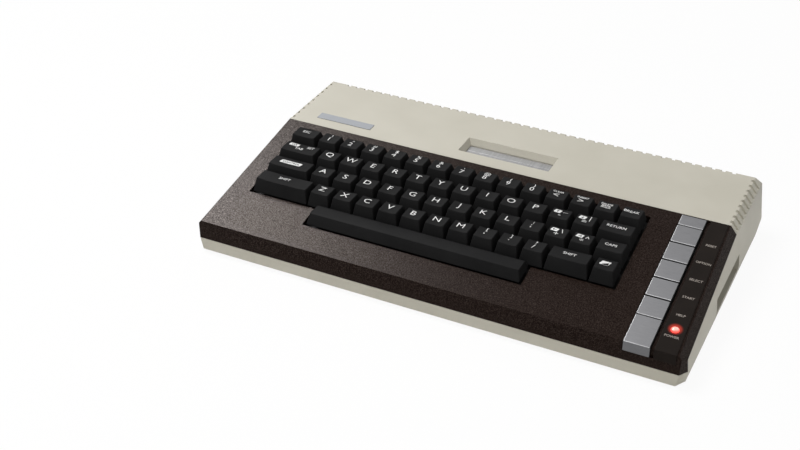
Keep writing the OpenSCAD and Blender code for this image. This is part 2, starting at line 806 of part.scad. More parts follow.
module rf_shield() {
    low = [-board_w / 2 + 12, bend_y + 4, board_top];
    high = [-throat[0] / 2 - 12, board_y[1] - 16, board_top + 10];
    color("silver") difference() {
        block(low, high);
        block(low + [shield_t, shield_t, -1], high - [shield_t, shield_t, shield_t]);
    }
}

// A nine-pin controller connector that looks to the right, mouth at the origin
module controller_port() {
    body_l = 16;
    d_outer = [[-8.8, 4.6], [8.8, 4.6], [8, -4.6], [-8, -4.6]];
    d_inner = [[-8.2, 4.1], [8.2, 4.1], [7.5, -4.1], [-7.5, -4.1]];
    facing_right() {
        translate([0, 0, -port_shell]) linear_extrude(port_shell) difference() {
            polygon(d_outer);
            polygon(d_inner);
        }
        for (row = [0, 1], i = [0 : 4 - row])
            translate([(i - (4 - row) / 2) * 2.77, row == 0 ? 1.42 : -1.42, -port_shell - 1])
                cylinder(r = 0.5, h = port_shell, $fn = 16);
        block([-port_w / 2, -side_up, -port_shell - body_l], [port_w / 2, 6.2, -port_shell]);
    }
}

module controller_ports() {
    color([0.35, 0.35, 0.36]) for (y = port_y)
        translate([side_x(side_z) - port_recess, y, side_z]) controller_port();
}

// A thirteen-pin connector behind the rear wall
module peripheral_port() {
    depth = 11;
    outer = peripheral_size + [2.4, 2.4];
    inner = peripheral_size;
    color([0.12, 0.12, 0.13]) translate([peripheral_x, back_y(port_z) - 1, port_z]) facing_back() {
        translate([0, 0, -depth]) linear_extrude(depth) difference() {
            square(outer, center = true);
            polygon([
                [-inner[0] / 2, inner[1] / 2], [inner[0] / 2, inner[1] / 2],
                [inner[0] / 2 - 4, -inner[1] / 2], [-inner[0] / 2 + 4, -inner[1] / 2]]);
        }
        for (row = [0, 1], i = [0 : 6 - row])
            translate([(i - (6 - row) / 2) * 5, row == 0 ? 2 : -2, -depth - 1]) cylinder(r = 0.9, h = 6);
        block([-outer[0] / 2, -outer[1] / 2, -depth - 5], [outer[0] / 2, port_up, -depth]);
    }
}

// A round socket: metal shell, contact disc with holes, and its body on the board
module round_socket(holes) {
    shell_l = back_y(port_z) - 1.2 - inner_y(board_top) + seam_gap;
    body_l = 12;
    facing_back() {
        difference() {
            translate([0, 0, -shell_l]) cylinder(r = socket_r, h = shell_l);
            difference() {
                translate([0, 0, -2.5]) cylinder(r = socket_r - 0.8, h = 3);
                translate([0, 0, -3]) cylinder(r = socket_r - 1.8, h = 4);
            }
            for (i = [0 : holes - 1]) rotate([0, 0, -200 + i * 220 / (holes - 1)])
                translate([3.5, 0, -3]) cylinder(r = 0.8, h = 4, $fn = 16);
        }
        difference() {
            block([-8.5, -6.5, -shell_l - body_l], [8.5, port_up, -shell_l]);
            translate([0, 0, -3]) cylinder(r = 1, h = 1);
        }
    }
}

module monitor_socket() {
    color([0.5, 0.5, 0.52]) translate([monitor_x, back_y(port_z) - 1.2, port_z]) round_socket(5);
}

module power_inlet() {
    color([0.5, 0.5, 0.52]) translate([power_x, back_y(port_z) - 1.2, port_z]) round_socket(7);
}

jack_l = 9.5;
jack_tip = button_rise - front_y - front_lean * (front_h - fold - seam_h) / (front_h - seam_h);

module television_jack() {
    color([0.75, 0.73, 0.68]) translate([jack_x, jack_tip, port_z]) facing_back() {
        difference() {
            translate([0, 0, -jack_l]) cylinder(r = jack_r, h = jack_l);
            translate([0, 0, -jack_l + 1.5]) cylinder(r = 1.6, h = jack_l);
        }
        translate([0, 0, -jack_l - 1.5]) cylinder(r = jack_r + 1.5, h = 1.5);
        block([-6, -6, -jack_l - 13], [6, port_up, -jack_l - 1.5]);
    }
}

// The plate that closes the expansion opening, with finger ribs and a flange behind the wall
module expansion_cover() {
    color([0.72, 0.7, 0.66]) translate([bus_x, 0, port_z]) {
        block([-bus_size[0] / 2, face_y - 1.5, -bus_size[1] / 2],
              [bus_size[0] / 2, face_y + wall - 0.6, bus_size[1] / 2]);
        block([-bus_size[0] / 2 - 3, face_y - 2.5, -bus_size[1] / 2 - 1],
              [bus_size[0] / 2 + 3, face_y - 1, bus_size[1] / 2 + 1]);
        for (i = [-2 : 2]) translate([i * 6, 0, 0])
            block([-0.8, face_y, -bus_size[1] / 2 + 2], [0.8, face_y + wall, bus_size[1] / 2 - 2]);
    }
}

rocker_y = face_y - 2;
rocker_deep = 3.5;

// Housings of the two rear switches, on the main board behind the wall
module switch_housings() {
    inner = [rocker_size[0] + 2 * rocker_room, rocker_size[1] + 2 * seam_gap];
    color([0.08, 0.08, 0.08]) {
        translate([power_switch_x, 0, port_z]) difference() {
            union() {
                block([-inner[0] / 2 - 1.2, face_y - 12, -inner[1] / 2 - 1.2],
                      [inner[0] / 2 + 1.2, face_y + 1, inner[1] / 2 + 1.2]);
                block([-inner[0] / 2 - 1.2, face_y - 12, -port_up], [inner[0] / 2 + 1.2, face_y - 4, 0]);
            }
            block([-inner[0] / 2, rocker_y - rocker_deep - 2.2, -inner[1] / 2],
                  [inner[0] / 2, rear_y + 5, inner[1] / 2]);
            translate([0, rocker_y, 0]) cylinder(r = 1 + fit, h = inner[1] + 1.6, center = true);
        }
        translate([channel_x, 0, port_z]) difference() {
            union() {
                block([-7, face_y - 12, -port_up], [7, face_y - 4, 5]);
                block([-7, face_y - 5, -5], [7, inner_y(port_z + 5) - seam_gap, 5]);
            }
            block([-(channel_size[0] + channel_travel) / 2 - 0.3, face_y - 4, -channel_size[1] / 2 - 0.3],
                  [(channel_size[0] + channel_travel) / 2 + 0.3, face_y + 1, channel_size[1] / 2 + 0.3]);
        }
    }
}

// The power switch's rocker, stored tipped to its off side, on a short vertical pivot
module power_switch() {
    color([0.15, 0.15, 0.15]) translate([power_switch_x, rocker_y, port_z]) rotate([0, 0, -rocker_tilt]) {
        translate([0, 0, -rocker_size[1] / 2]) linear_extrude(rocker_size[1]) polygon([
            [-rocker_size[0] / 2, -rocker_deep], [rocker_size[0] / 2, -rocker_deep],
            [rocker_size[0] / 2, rocker_deep + 0.8], [0, rocker_deep - 0.5],
            [-rocker_size[0] / 2, rocker_deep + 0.8]]);
        cylinder(r = 1, h = rocker_size[1] + 1.4, center = true);
    }
}

module channel_switch() {
    color([0.15, 0.15, 0.15]) translate([channel_x - channel_travel / 2, 0, port_z]) {
        block([-channel_size[0] / 2, face_y - 3.6, -channel_size[1] / 2],
              [channel_size[0] / 2, face_y + wall - 0.5, channel_size[1] / 2]);
    }
}

module badge_plate() {
    left = -case_w / 2 + badge_in;
    front = bend_y + badge_back;
    color([0.7, 0.7, 0.7])
        block([left, front, case_h], [left + badge_w, front + badge_d, case_h + badge_t]);
}

foot_x = case_w / 2 - boss_in - 12;
foot_y = [front_y + 22, rear_y - tuck_in - 18];

module rubber_feet() {
    color([0.1, 0.1, 0.1]) for (s = [-1, 1], y = foot_y) translate([s * foot_x, y, 0])
        cylinder(r = foot_r, h = foot_h);
}

module case_screws() {
    color([0.3, 0.3, 0.32]) for (s = [-1, 1], y = concat(bezel_boss_y, top_boss_y))
        translate([s * boss_x, y, foot_h + 0.6]) difference() {
            union() {
                cylinder(r = head_r, h = head_sink - 0.6);
                cylinder(r = screw_r, h = screw_l);
            }
            translate([0, 0, 0.6]) cube([0.7, 3.6, 1.4], center = true);
            translate([0, 0, 0.6]) cube([3.6, 0.7, 1.4], center = true);
        }
}

// Moving keys: node, row, first key, last key. Ordinary keys share a node by threes and fours.
key_nodes = [
    ["key_escape", 0, 0, 0], ["keys_1_to_4", 0, 1, 4], ["keys_5_to_8", 0, 5, 8],
    ["keys_9_to_insert", 0, 9, 12], ["key_delete", 0, 13, 13], ["key_break", 0, 14, 14],
    ["key_tab", 1, 0, 0], ["keys_q_to_r", 1, 1, 4], ["keys_t_to_i", 1, 5, 8],
    ["keys_o_to_equals", 1, 9, 12], ["key_return", 1, 13, 13],
    ["key_control", 2, 0, 0], ["keys_a_to_f", 2, 1, 4], ["keys_g_to_k", 2, 5, 8],
    ["keys_l_to_star", 2, 9, 12], ["key_caps", 2, 13, 13],
    ["key_shift_left", 3, 0, 0], ["keys_z_to_v", 3, 1, 4], ["keys_b_to_m", 3, 5, 7],
    ["keys_comma_to_slash", 3, 8, 10], ["key_shift_right", 3, 11, 11], ["key_inverse", 3, 12, 12],
    ["key_space", 4, 0, 0]];
button_nodes = ["button_reset", "button_option", "button_select", "button_start", "button_help"];

bottom_case();
top_case();
keyboard_bezel();
label_strip();
badge_plate();
power_lamp();
console_trim();
console_frame();
console_switches();
keyboard_plate();
keyboard_circuit();
keyboard_ribbon();
main_board();
chips();
rf_shield();
cartridge_connector();
cartridge_guide();
cartridge_door(-1);  // cartridge_door_front
cartridge_door(1);  // cartridge_door_rear
cartridge_door_pins();
controller_ports();
peripheral_port();
monitor_socket();
power_inlet();
television_jack();
expansion_cover();
switch_housings();
power_switch();
channel_switch();
rubber_feet();
case_screws();
for (i = [0 : button_count - 1])
    console_button(i);
for (k = key_nodes)
    keys(k[1], k[2], k[3]);
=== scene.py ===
# %% [markdown]
# # A vintage home computer, dressed in Blender
# The solids of the computer come from CAD, with one name for each part. This lesson lights a
# plain studio, gives the solids their finishes, rounds their edges, and builds the keycaps with
# their printed signs. Blender counts in metres and the sizes below are in millimetres, so they
# are multiplied by MM. The frame is the same as in the CAD: x right, y back, z up.

# %% Load the solids
import json
import math

import bmesh
import bpy
from mathutils import Matrix, Vector


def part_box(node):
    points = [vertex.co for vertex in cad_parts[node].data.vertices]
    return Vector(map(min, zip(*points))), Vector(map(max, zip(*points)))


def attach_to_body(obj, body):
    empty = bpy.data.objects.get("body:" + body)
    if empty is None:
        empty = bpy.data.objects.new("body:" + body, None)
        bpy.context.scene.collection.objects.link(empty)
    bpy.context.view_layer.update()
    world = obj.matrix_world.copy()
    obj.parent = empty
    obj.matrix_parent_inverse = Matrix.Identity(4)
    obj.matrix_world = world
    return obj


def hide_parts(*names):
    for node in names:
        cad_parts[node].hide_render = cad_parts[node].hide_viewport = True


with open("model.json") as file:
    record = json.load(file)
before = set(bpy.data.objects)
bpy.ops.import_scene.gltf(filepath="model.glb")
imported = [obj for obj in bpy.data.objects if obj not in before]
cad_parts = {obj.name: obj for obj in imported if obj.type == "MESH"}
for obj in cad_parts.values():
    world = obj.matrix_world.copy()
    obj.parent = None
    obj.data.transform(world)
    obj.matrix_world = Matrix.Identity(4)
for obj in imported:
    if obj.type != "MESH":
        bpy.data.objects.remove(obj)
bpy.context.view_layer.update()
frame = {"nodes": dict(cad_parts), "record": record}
record = frame["record"]
scene = bpy.context.scene
MM = 0.001
body_of = {node: body for body, nodes in record["behaviour"]["bodies"].items() for node in nodes}
slot_of = {part["node"]: part["material_slot"] for part in record["subparts"]}

# %% [markdown]
# The photograph looks down on the right front corner from about 33 degrees up. The keys' pitch
# of 19.05 mm and the case's straight edges fix where the camera stood, so its place and axes are
# given directly. Another way is to aim a camera by hand, but then no edge lands quite right.

# %% Camera
RIGHT = Vector((0.8980, 0.4399, 0.0))
UP = Vector((-0.2406, 0.4912, 0.8372))
FORWARD = Vector((-0.3683, 0.7518, -0.5470))
CAMERA_AT = (0.3163, -0.7883, 0.5683)
SENSOR_MM, LENS_MM = 36, 59.2

camera_data = bpy.data.cameras.new("photo_camera")
camera_data.sensor_width = SENSOR_MM
camera_data.lens = LENS_MM
camera = bpy.data.objects.new("photo_camera", camera_data)
scene.collection.objects.link(camera)
camera.matrix_world = Matrix((RIGHT, UP, -FORWARD)).transposed().to_4x4()
camera.location = CAMERA_AT
scene.camera = camera
print("camera at", tuple(round(v, 3) for v in camera.location))

# %% [markdown]
# A product photograph is lit by large soft boxes over a white sweep. Here the world gives most
# of the light, a little more from the right and the front. One lamp, high on the left, adds a
# soft shadow. Another, behind on the left, lights nothing by itself: it shows only in
# reflections, and puts the broad sheen on the brown bezel. The world is white where the camera,
# a reflection or a clear solid shows it, and softer where it lights a surface.

# %% Light and floor
AMBIENT = 0.38
AMBIENT_COLOUR = (1, 0.99, 0.975, 1)
AMBIENT_LEAN = (0.1, -0.1, 0.0)
FLOOR_HALF = 6.0
scene.view_settings.view_transform = "Standard"


def calculate(tree, operation, *values):
    """A math node's output; each value is a number or the output of another node."""
    node = tree.nodes.new("ShaderNodeMath")
    node.operation = operation
    for value, socket in zip(values, node.inputs):
        if isinstance(value, bpy.types.NodeSocket):
            tree.links.new(value, socket)
        else:
            socket.default_value = value
    return node.outputs[0]


def shown(tree):
    """1 for the rays that show a thing to the eye, and 0 for those that only carry its light."""
    path = tree.nodes.new("ShaderNodeLightPath").outputs
    eye = calculate(tree, "MAXIMUM", path["Is Camera Ray"], path["Is Glossy Ray"])
    return calculate(tree, "MAXIMUM", eye, path["Is Transmission Ray"])


def mix(tree, factor, first, second):
    """The first shader where factor is 0, the second where it is 1."""
    blend = tree.nodes.new("ShaderNodeMixShader")
    for output, socket in zip((factor, first, second), blend.inputs):
        tree.links.new(output, socket)
    return blend.outputs[0]


world = bpy.data.worlds.new("studio")
scene.world = world
world.use_nodes = True
sky = world.node_tree
sky.nodes.clear()
direction = sky.nodes.new("ShaderNodeTexCoord")
lean = sky.nodes.new("ShaderNodeVectorMath")
lean.operation = "DOT_PRODUCT"
lean.inputs[1].default_value = AMBIENT_LEAN
sky.links.new(direction.outputs["Generated"], lean.inputs[0])
soft = sky.nodes.new("ShaderNodeBackground")
soft.inputs["Color"].default_value = AMBIENT_COLOUR
sky.links.new(calculate(sky, "MULTIPLY_ADD", lean.outputs["Value"], AMBIENT, AMBIENT),
              soft.inputs["Strength"])
white = sky.nodes.new("ShaderNodeBackground")
white.inputs["Color"].default_value = (1, 1, 1, 1)
white.inputs["Strength"].default_value = 1.0
sky.links.new(mix(sky, shown(sky), soft.outputs[0], white.outputs[0]),
              sky.nodes.new("ShaderNodeOutputWorld").inputs[0])


def soft_box(name, location, target, size, watts, only_sheen=False):
    """A round area lamp at a place, turned to a target; everything here is in metres."""
    lamp = bpy.data.lights.new(name, "AREA")
    lamp.shape = "DISK"
    lamp.size = size
    lamp.energy = watts
    box = bpy.data.objects.new(name, lamp)
    scene.collection.objects.link(box)
    box.location = location
    box.rotation_euler = (Vector(target) - Vector(location)).to_track_quat("-Z", "Y").to_euler()
    box.visible_diffuse = not only_sheen


soft_box("main_box", (-0.7, -0.3, 1.8), (0, 0, 0), size=1.0, watts=24)
soft_box("sheen_box", (-1.08, 0.60, 1.38), (-0.1, 0, 0), size=0.7, watts=36, only_sheen=True)

floor_mesh = bpy.data.meshes.new("floor")
floor_mesh.from_pydata([(x * FLOOR_HALF, y * FLOOR_HALF, 0)
                        for x, y in ((-1, -1), (1, -1), (1, 1), (-1, 1))], [], [(0, 1, 2, 3)])
floor = bpy.data.objects.new("floor", floor_mesh)
scene.collection.objects.link(floor)

# %% [markdown]
# Every finish starts from the Principled shader. A small helper sets its plain numbers, and
# others add what varies over the surface: the grain of a mould, brushed lines, or a slow drift
# of the colour. Textures use the object's own coordinates, so they travel with a moving part.

# %% Helpers for finishes
SHADED_EDGE_MM = 0.2
SHADED_EDGE_SAMPLES = 6
finishes = {}


def shader_of(material):
    return material.node_tree.nodes["Principled BSDF"]


def finish(name, roughness, metallic=0.0, specular=0.4):
    """A material with the Principled shader, kept in finishes under its name."""
    material = bpy.data.materials.new(name)
    finishes[name] = material
    material.use_nodes = True
    inputs = shader_of(material).inputs
    inputs["Roughness"].default_value = roughness
    inputs["Metallic"].default_value = metallic
    inputs["Specular IOR Level"].default_value = specular
    return material


def noise(material, size_mm, detail=2.0, stretch=(1, 1, 1)):
    """A noise texture whose spots are about size_mm wide; stretch makes them longer."""
    tree = material.node_tree
    place = tree.nodes.new("ShaderNodeTexCoord")
    mapping = tree.nodes.new("ShaderNodeMapping")
    mapping.inputs["Scale"].default_value = [1 / s for s in stretch]
    texture = tree.nodes.new("ShaderNodeTexNoise")
    texture.inputs["Scale"].default_value = 1 / (size_mm * MM)
    texture.inputs["Detail"].default_value = detail
    tree.links.new(place.outputs["Object"], mapping.inputs["Vector"])
    tree.links.new(mapping.outputs["Vector"], texture.inputs["Vector"])
    return texture.outputs["Fac"]


def raise_by(material, height, depth_mm, edge_mm=SHADED_EDGE_MM):
    """Bump: the shader sees height as relief, and the piece's edges as rounded by edge_mm."""
    tree = material.node_tree
    edge = tree.nodes.new("ShaderNodeBevel")
    edge.samples = SHADED_EDGE_SAMPLES
    edge.inputs["Radius"].default_value = edge_mm * MM
    bump = tree.nodes.new("ShaderNodeBump")
    bump.inputs["Strength"].default_value = 1.0
    bump.inputs["Distance"].default_value = depth_mm * MM
    tree.links.new(edge.outputs["Normal"], bump.inputs["Normal"])
    tree.links.new(height, bump.inputs["Height"])
    tree.links.new(bump.outputs["Normal"], shader_of(material).inputs["Normal"])


def colour_between(material, factor, low, high, start=0.35, end=0.65, name="Base Color"):
    """A colour of the shader runs from low to high as factor goes from start to end."""
    tree = material.node_tree
    ramp = tree.nodes.new("ShaderNodeValToRGB")
    stops = ramp.color_ramp.elements
    for stop, position, colour in ((stops[0], start, low), (stops[1], end, high)):
        stop.position = position
        stop.color = (*colour, 1)
    tree.links.new(factor, ramp.inputs["Fac"])
    tree.links.new(ramp.outputs["Color"], shader_of(material).inputs[name])


def number_between(material, factor, name, low, high, start=0.0, end=1.0):
    """A number of the shader, such as its roughness, runs from low to high with factor."""
    tree = material.node_tree
    spread = tree.nodes.new("ShaderNodeMapRange")
    spread.inputs["From Min"].default_value = start
    spread.inputs["From Max"].default_value = end
    spread.inputs["To Min"].default_value = low
    spread.inputs["To Max"].default_value = high
    tree.links.new(factor, spread.inputs["Value"])
    tree.links.new(spread.outputs["Result"], shader_of(material).inputs[name])


print("helpers ready")

# %% [markdown]
# The case is moulded in a warm light beige with a very fine matt grain. The brown bezel has a
# coarser leathery grain that glints: small pale specks on dark brown. There one noise makes the
# relief, the colour and the shine, so each speck is a grain; a flat colour would look like paper.

# %% Moulded plastics
CASE_EDGE_MM = 0.35


def moulded(name, low, high, roughness, grain_mm, depth_mm, specular=0.4, drift_mm=40,
            edge_mm=SHADED_EDGE_MM):
    """Plastic whose colour drifts slowly from low to high, with a fine grain in relief."""
    material = finish(name, roughness, specular=specular)
    colour_between(material, noise(material, drift_mm), low, high)
    raise_by(material, noise(material, grain_mm), depth_mm, edge_mm)


def bezel_brown():
    material = finish("bezel_brown", 0.30)
    speckle = noise(material, 0.62, detail=3.0)
    colour_between(material, speckle, (0.008, 0.0042, 0.0030), (0.023, 0.0130, 0.0095),
                   start=0.42, end=0.68)
    number_between(material, speckle, "Specular IOR Level", 0.03, 0.22, start=0.46, end=0.72)
    shader_of(material).inputs["Specular Tint"].default_value = (1.0, 0.85, 0.77, 1)
    raise_by(material, speckle, depth_mm=0.05, edge_mm=CASE_EDGE_MM)


bezel_brown()
moulded("case_beige", (0.530, 0.505, 0.425), (0.560, 0.535, 0.455), roughness=0.55,
        grain_mm=0.35, depth_mm=0.012, edge_mm=CASE_EDGE_MM)
moulded("key_black", (0.0155, 0.0155, 0.0158), (0.0185, 0.0185, 0.0188), roughness=0.5,
        grain_mm=0.25, depth_mm=0.006, specular=0.02, drift_mm=25)
moulded("inner_black", (0.010, 0.010, 0.010), (0.016, 0.016, 0.016), roughness=0.5,
        grain_mm=0.5, depth_mm=0.01, specular=0.1)
# This dark is also painted on the console keys' sides, as the shade in the gaps between them.
moulded("plate_dark", (0.009, 0.009, 0.009), (0.013, 0.013, 0.013), roughness=0.5,
        grain_mm=0.4, depth_mm=0.01, specular=0.1)
moulded("foot_rubber", (0.014, 0.014, 0.014), (0.022, 0.021, 0.020), roughness=0.85,
        grain_mm=0.6, depth_mm=0.03)
moulded("chip_black", (0.012, 0.012, 0.013), (0.02, 0.02, 0.02), roughness=0.6,
        grain_mm=0.3, depth_mm=0.01)
moulded("ribbon_grey", (0.28, 0.27, 0.25), (0.36, 0.35, 0.32), roughness=0.6,
        grain_mm=1.2, depth_mm=0.05)
moulded("board_green", (0.012, 0.075, 0.03), (0.02, 0.11, 0.045), roughness=0.35,
        grain_mm=2.0, depth_mm=0.02)
moulded("print_white", (0.86, 0.86, 0.85), (0.95, 0.95, 0.94), roughness=0.5,
        grain_mm=0.3, depth_mm=0.004)
moulded("print_grey", (0.34, 0.30, 0.26), (0.42, 0.37, 0.33), roughness=0.5,
        grain_mm=0.3, depth_mm=0.004)
print("plastics:", sorted(finishes))

# %% [markdown]
# The label strip is a smooth dark foil. The lamp in it is lit, and its light spills a little way
# over the foil; the spill is an emission that falls off with the distance from the lamp, which
# is simpler than a real lamp inside the lens and gives no noise.

# %% Label foil and lamp
lamp_low, lamp_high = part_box("power_lamp")
BULB_DEEP_MM = 1.0
LAMP = Vector(((lamp_low.x + lamp_high.x) / 2, (lamp_low.y + lamp_high.y) / 2,
               lamp_high.z - BULB_DEEP_MM * MM))
LAMP_RED = (1.0, 0.075, 0.045)
SPILL = 0.45


def near_lamp(material, near_mm, far_mm):
    """1 near the lamp, falling to 0 at far_mm."""
    tree = material.node_tree
    place = tree.nodes.new("ShaderNodeTexCoord")
    away = tree.nodes.new("ShaderNodeVectorMath")
    away.operation = "DISTANCE"
    away.inputs[1].default_value = LAMP
    fall = tree.nodes.new("ShaderNodeMapRange")
    fall.interpolation_type = "SMOOTHERSTEP"
    fall.inputs["From Min"].default_value = near_mm * MM
    fall.inputs["From Max"].default_value = far_mm * MM
    fall.inputs["To Min"].default_value = 1
    fall.inputs["To Max"].default_value = 0
    tree.links.new(place.outputs["Object"], away.inputs[0])
    tree.links.new(away.outputs["Value"], fall.inputs["Value"])
    return fall.outputs["Result"]


def label_brown():
    material = finish("label_brown", 0.4, specular=0.06)
    colour_between(material, noise(material, 12), (0.009, 0.0060, 0.0044), (0.012, 0.0082, 0.0062))
    raise_by(material, noise(material, 0.5), depth_mm=0.01)
    shader = shader_of(material)
    shader.inputs["Emission Color"].default_value = (*LAMP_RED, 1)
    spill = calculate(material.node_tree, "MULTIPLY", near_lamp(material, 2.5, 6.0), SPILL)
    material.node_tree.links.new(spill, shader.inputs["Emission Strength"])


def lamp_red():
    """Deep red at the lens's rim and pale in its middle, where the bulb is."""
    material = finish("lamp_red", 0.2, specular=0.5)
    shader_of(material).inputs["Base Color"].default_value = (0.85, 0.10, 0.07, 1)
    colour_between(material, near_lamp(material, 0.6, 3.6), (1.0, 0.03, 0.02), (1.0, 0.52, 0.44),
                   start=0.0, end=0.7, name="Emission Color")
    shader_of(material).inputs["Emission Strength"].default_value = 1.0


label_brown()
lamp_red()
print("lamp at", tuple(round(v, 4) for v in LAMP))

# %% [markdown]
# The console keys and the cartridge doors are brushed metal: fine parallel scratches that blur
# the reflection across their run. A noise stretched along one axis makes the scratches, in the
# relief, the colour and the roughness. Plated steel gets the same helper with less stretch.

# %% Metals
ALONG_X, ALONG_Y = (60, 1, 1), (1, 60, 1)
SMOOTHER, ROUGHER = 0.06, 0.1


def brushed(name, colour, roughness, stretch, line_mm=0.12, metallic=0.9, contrast=0.13):
    """Metal with scratches line_mm apart, whose colour varies by the share contrast."""
    material = finish(name, roughness, metallic, specular=0.5)
    lines = noise(material, line_mm, detail=3.0, stretch=stretch)
    colour_between(material, lines, [(1 - contrast) * c for c in colour],
                   [(1 + contrast) * c for c in colour], start=0.3, end=0.7)
    number_between(material, noise(material, line_mm * 2, stretch=stretch), "Roughness",
                   roughness - SMOOTHER, roughness + ROUGHER)
    raise_by(material, lines, depth_mm=0.01)


brushed("console_silver", (0.145, 0.145, 0.15), 0.42, ALONG_X)
# A brighter metal, painted as a highlight on the console keys' left and front edges.
brushed("console_painted_highlight", (0.27, 0.27, 0.275), 0.42, ALONG_X)
brushed("door_silver", (0.265, 0.265, 0.268), 0.42, ALONG_Y, line_mm=1.0, metallic=0.8,
        contrast=0.16)
brushed("badge_metal", (0.275, 0.29, 0.315), 0.6, ALONG_X, metallic=0.1)
brushed("shield_tin", (0.50, 0.50, 0.49), 0.35, (8, 1, 1))
brushed("connector_steel", (0.40, 0.40, 0.40), 0.3, (1, 1, 6))
brushed("pin_steel", (0.50, 0.50, 0.50), 0.25, ALONG_X)
brushed("screw_steel", (0.17, 0.17, 0.18), 0.35, (3, 3, 1))
print("finishes:", len(finishes))

# %% [markdown]
# The floor is a matt white sheet that takes the computer's shadow. To the eye most of it is a
# plain glow, so that it meets the white behind it without a line; the rest shows the shadow.

# %% The floor's finish
FLOOR_GLOW = 0.93
floor_white = finish("floor_white", 0.8, specular=0.1)
colour_between(floor_white, noise(floor_white, 900), (0.955, 0.955, 0.95), (0.97, 0.97, 0.965))
tree = floor_white.node_tree
glow = tree.nodes.new("ShaderNodeEmission")
tree.links.new(mix(tree, calculate(tree, "MULTIPLY", shown(tree), FLOOR_GLOW),
                   shader_of(floor_white).outputs[0], glow.outputs[0]),
               tree.nodes["Material Output"].inputs["Surface"])
floor_mesh.materials.append(floor_white)
print("floor glows by", FLOOR_GLOW)

# %% [markdown]
# The keyboard lies in the bezel's plane, which falls towards the front. A point is easiest to
# give there: x to the right, y up the slope from the bend, z out of the bezel. One function
# turns such a point, in millimetres, into a place in the frame.

# %% The bezel's plane
BEND_Y, BEND_Z = 25.0, 52.1
FRONT_HIGH, BEZEL_DEEP = 28.3, 131.8
BEND = Vector((0, BEND_Y * MM, BEND_Z * MM))
SLOPE = math.atan2(BEND_Z - FRONT_HIGH, BEZEL_DEEP)
TURN = Matrix.Rotation(SLOPE, 3, "X")


def on_bezel(x, y, z):
    return BEND + TURN @ (Vector((x, y, z)) * MM)


print("slope", round(math.degrees(SLOPE), 2), "degrees")

# %% [markdown]
# Each solid takes the finish of its slot. A real moulding has no knife edges: they are rounded
# by a few tenths of a millimetre, and these small rounds catch the light and make the edges
# readable. On the large mouldings the shader rounds them, which keeps their faces as they are.
# The small visible pieces, such as the console keys and the doors, get a copy whose longer sharp
# edges are bevelled, and the copy stands for the solid. Flat faces are joined first, so that the
# bevel meets no stray triangle. The case gets a plain copy, for its two lower front corners only.

# %% Finishes on the solids, and rounded copies
for name, node in frame["nodes"].items():
    material = finishes[slot_of[name]]
    if not node.material_slots:
        node.data.materials.append(material)
    for slot in node.material_slots:
        slot.material = material

WELD_MM = 0.001
FLAT = math.radians(0.5)
SHARP = math.radians(28)
SHORTEST_EDGE_MM = 1.4
BEVEL_STEPS = 2
SPLIT_SHADING = 38
CONSOLE_BUTTONS = ["button_" + word for word in ("reset", "option", "select", "start", "help")]
FOIL_TOPPED = ["console_trim"] + CONSOLE_BUTTONS


def attach(name, mesh, body):
    """An object of a mesh, which rides on a body."""
    piece = bpy.data.objects.new(name, mesh)
    scene.collection.objects.link(piece)
    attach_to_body(piece, body)
    return piece


def show(name, mesh, body, slot, split=SPLIT_SHADING):
    """A piece with its finish and smooth shading, which splits at edges over split degrees."""
    mesh.materials.append(finishes[slot])
    mesh.shade_smooth()
    mesh.set_sharp_from_angle(angle=math.radians(split))
    piece = attach(name, mesh, body)
    normals = piece.modifiers.new("flat faces stay flat", "WEIGHTED_NORMAL")
    normals.keep_sharp = True
    return piece


# Faces of a console key: the foil on top, the sides painted dark as shade, and the left and front
# edges with a painted highlight.
FOIL, PAINTED_SHADE_SIDES, PAINTED_HIGHLIGHT_EDGE = 0, 1, 2
FACES_UP, FACES_FRONT, LEANS_UP, LEANS_AWAY = 0.97, -0.5, 0.2, 0.1
FOLD_DEEP_MM = 1.5
FOLDED_KEY_FRONT_MM = -100


def dress_console_key(mesh):
    """The foil covers a key's top, and the front of the last key, over which it is folded. The
    left and front edges get a brighter metal, a painted highlight; the other sides are painted
    dark, as the shade in the gaps between the keys."""
    mesh.materials.append(finishes["plate_dark"])
    mesh.materials.append(finishes["console_painted_highlight"])
    front = min(v.co.y for v in mesh.vertices)
    folded = front < FOLDED_KEY_FRONT_MM * MM
    for face in mesh.polygons:
        tilt = TURN.transposed() @ face.normal
        on_fold = (folded and tilt.y < FACES_FRONT
                   and face.center.y < front + FOLD_DEEP_MM * MM)
        if tilt.z > FACES_UP or on_fold:
            face.material_index = FOIL
        # Faces leaning to the left and front get the painted highlight.
        elif tilt.z > LEANS_UP and tilt.x < LEANS_AWAY and tilt.y < LEANS_AWAY:
            face.material_index = PAINTED_HIGHLIGHT_EDGE
        # The other sides are painted dark, as the shade in the gaps between the keys.
        else:
            face.material_index = PAINTED_SHADE_SIDES


# The feet of the right corner's chamfer, and how far each slides; the left ones are mirrored.
CORNER_FEET = {(182.13, -106.6, 3.0): (2.66, 0), (189.7, -94.88, 3.0): (0, -3.55)}
SAME_PLACE_MM = 0.3


def straighten_corners(form):
    """The chamfers of the lower front corners lean in less: their feet slide along the edges."""
    for vert in form.verts:
        for foot, (slide_x, slide_y) in CORNER_FEET.items():
            away = Vector((abs(vert.co.x), vert.co.y, vert.co.z)) - Vector(foot) * MM
            if away.length < SAME_PLACE_MM * MM:
                vert.co += Vector((math.copysign(slide_x, vert.co.x), slide_y, 0)) * MM
                break


def bevel(form, width_mm):
    """Joins flat faces and rounds the sharp edges that are long enough to be seen."""
    bmesh.ops.dissolve_limit(form, angle_limit=FLAT, verts=form.verts, edges=form.edges)
    edges = [e for e in form.edges if len(e.link_faces) == 2
             and e.calc_face_angle() > SHARP and e.calc_length() > SHORTEST_EDGE_MM * MM]
    bmesh.ops.bevel(form, geom=edges, offset=width_mm * MM, segments=BEVEL_STEPS, profile=0.5,
                    affect="EDGES", clamp_overlap=False)


